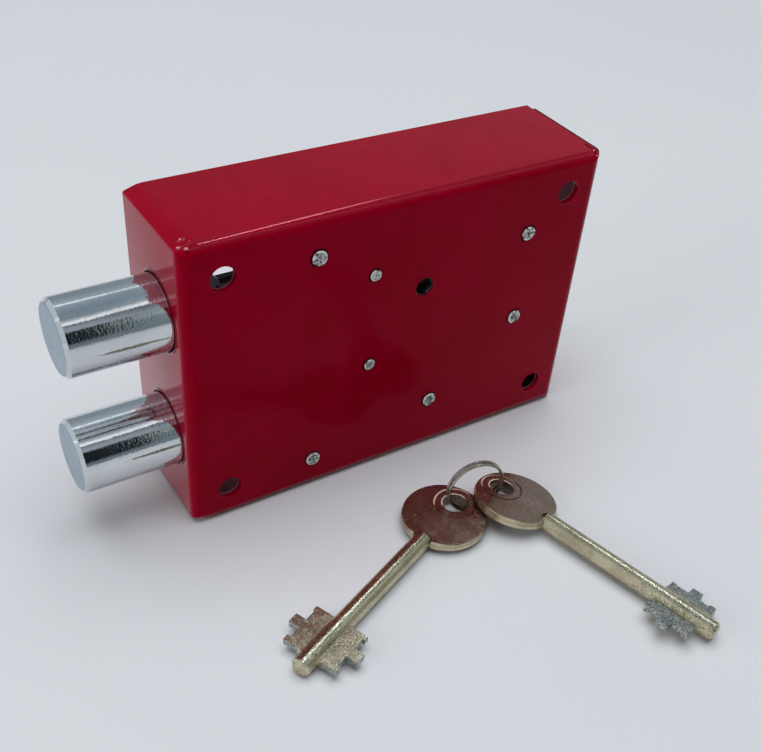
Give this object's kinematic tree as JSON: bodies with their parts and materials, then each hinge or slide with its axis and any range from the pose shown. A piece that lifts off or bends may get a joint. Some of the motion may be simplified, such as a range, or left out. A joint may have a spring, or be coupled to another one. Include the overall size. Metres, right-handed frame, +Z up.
{
  "type": "safe lock",
  "caption": "Rim safe lock in a painted folded-steel case with round bolts thrown from one end, a lever mechanism inside, and double-bitted keys on a split ring.",
  "frame": {"origin": "middle of the case's resting edge: half its length and half its depth, on the bottom flange", "axes": "+X along the case away from the bolts, +Y from the plain painted front wall to the keyhole cover, +Z up"},
  "size_m": [0.1666, 0.1462, 0.095],
  "materials": {
    "case_paint": "gloss deep red enamel",
    "cover_paint": "gloss deep red enamel",
    "bolt_chrome": "polished chrome",
    "pillar_steel": "turned, peened tails",
    "screw_zinc": "zinc plated",
    "plate_steel": "pressed steel",
    "hard_steel": "hardened, blackened",
    "spring_steel": "tempered spring steel",
    "lever_brass": "stamped sheet",
    "key_nickel": "satin nickel on a zinc casting",
    "ring_nickel": "bright nickel"
  },
  "bodies": {
    "case": {"case_tray": "case_paint", "cover_plate": "cover_paint", "upper_left_pillar": "pillar_steel", "lower_left_pillar": "pillar_steel", "upper_right_pillar": "pillar_steel", "lower_right_pillar": "pillar_steel", "centre_pillar": "pillar_steel", "upper_guide_pin": "pillar_steel", "lower_guide_pin": "pillar_steel", "cover_screws": "screw_zinc", "retaining_clips": "screw_zinc", "keeper_plate": "plate_steel", "spring_comb": "spring_steel", "drill_guard": "hard_steel", "guard_rivets": "screw_zinc"},
    "bolt_carriage": {"bolt_plate": "plate_steel", "upper_bolt": "bolt_chrome", "lower_bolt": "bolt_chrome", "bolt_stump": "plate_steel"},
    "key_bunch": {"key_ring": "ring_nickel"},
    "first_key": {"key_1": "key_nickel"},
    "second_key": {"key_2": "key_nickel"},
    "lever_1_body": {"lever_1": "lever_brass"},
    "lever_2_body": {"lever_2": "lever_brass"},
    "lever_3_body": {"lever_3": "lever_brass"},
    "lever_4_body": {"lever_4": "lever_brass"},
    "lever_5_body": {"lever_5": "lever_brass"},
    "lever_6_body": {"lever_6": "lever_brass"}
  },
  "joints": [
    {"name": "bolt_slide", "type": "slide", "parent": "case", "child": "bolt_carriage", "axis": [1, 0, 0], "range_m": [0, 0.02]},
    {"name": "lever_1_rise", "type": "slide", "parent": "case", "child": "lever_1_body", "axis": [0, 0, 1], "range_m": [0, 0.0018]},
    {"name": "lever_2_rise", "type": "slide", "parent": "case", "child": "lever_2_body", "axis": [0, 0, 1], "range_m": [0, 0.0022]},
    {"name": "lever_3_rise", "type": "slide", "parent": "case", "child": "lever_3_body", "axis": [0, 0, 1], "range_m": [0, 0.0032]},
    {"name": "lever_4_rise", "type": "slide", "parent": "case", "child": "lever_4_body", "axis": [0, 0, 1], "range_m": [0, 0.0028]},
    {"name": "lever_5_rise", "type": "slide", "parent": "case", "child": "lever_5_body", "axis": [0, 0, 1], "range_m": [0, 0.0024]},
    {"name": "lever_6_rise", "type": "slide", "parent": "case", "child": "lever_6_body", "axis": [0, 0, 1], "range_m": [0, 0.002]},
    {"name": "key_bunch_lift", "type": "slide", "parent": "case", "child": "key_bunch", "axis": [0, 0, 1], "range_m": [0, 0.11]},
    {"name": "first_key_swing", "type": "hinge", "parent": "key_bunch", "child": "first_key", "pos_m": [0.0102, -0.0512, 0.00957], "axis": [0.2079, 0.9781, 0], "range_deg": [0, 70]},
    {"name": "second_key_swing", "type": "hinge", "parent": "key_bunch", "child": "second_key", "pos_m": [0.0102, -0.0512, 0.00957], "axis": [-0.2079, -0.9781, 0], "range_deg": [0, 70]}
  ],
  "couplings": [
    {"joint": "lever_1_rise", "follows": "bolt_slide", "ratio": 0.09},
    {"joint": "lever_2_rise", "follows": "bolt_slide", "ratio": 0.11},
    {"joint": "lever_3_rise", "follows": "bolt_slide", "ratio": 0.16},
    {"joint": "lever_4_rise", "follows": "bolt_slide", "ratio": 0.14},
    {"joint": "lever_5_rise", "follows": "bolt_slide", "ratio": 0.12},
    {"joint": "lever_6_rise", "follows": "bolt_slide", "ratio": 0.1}
  ]
}
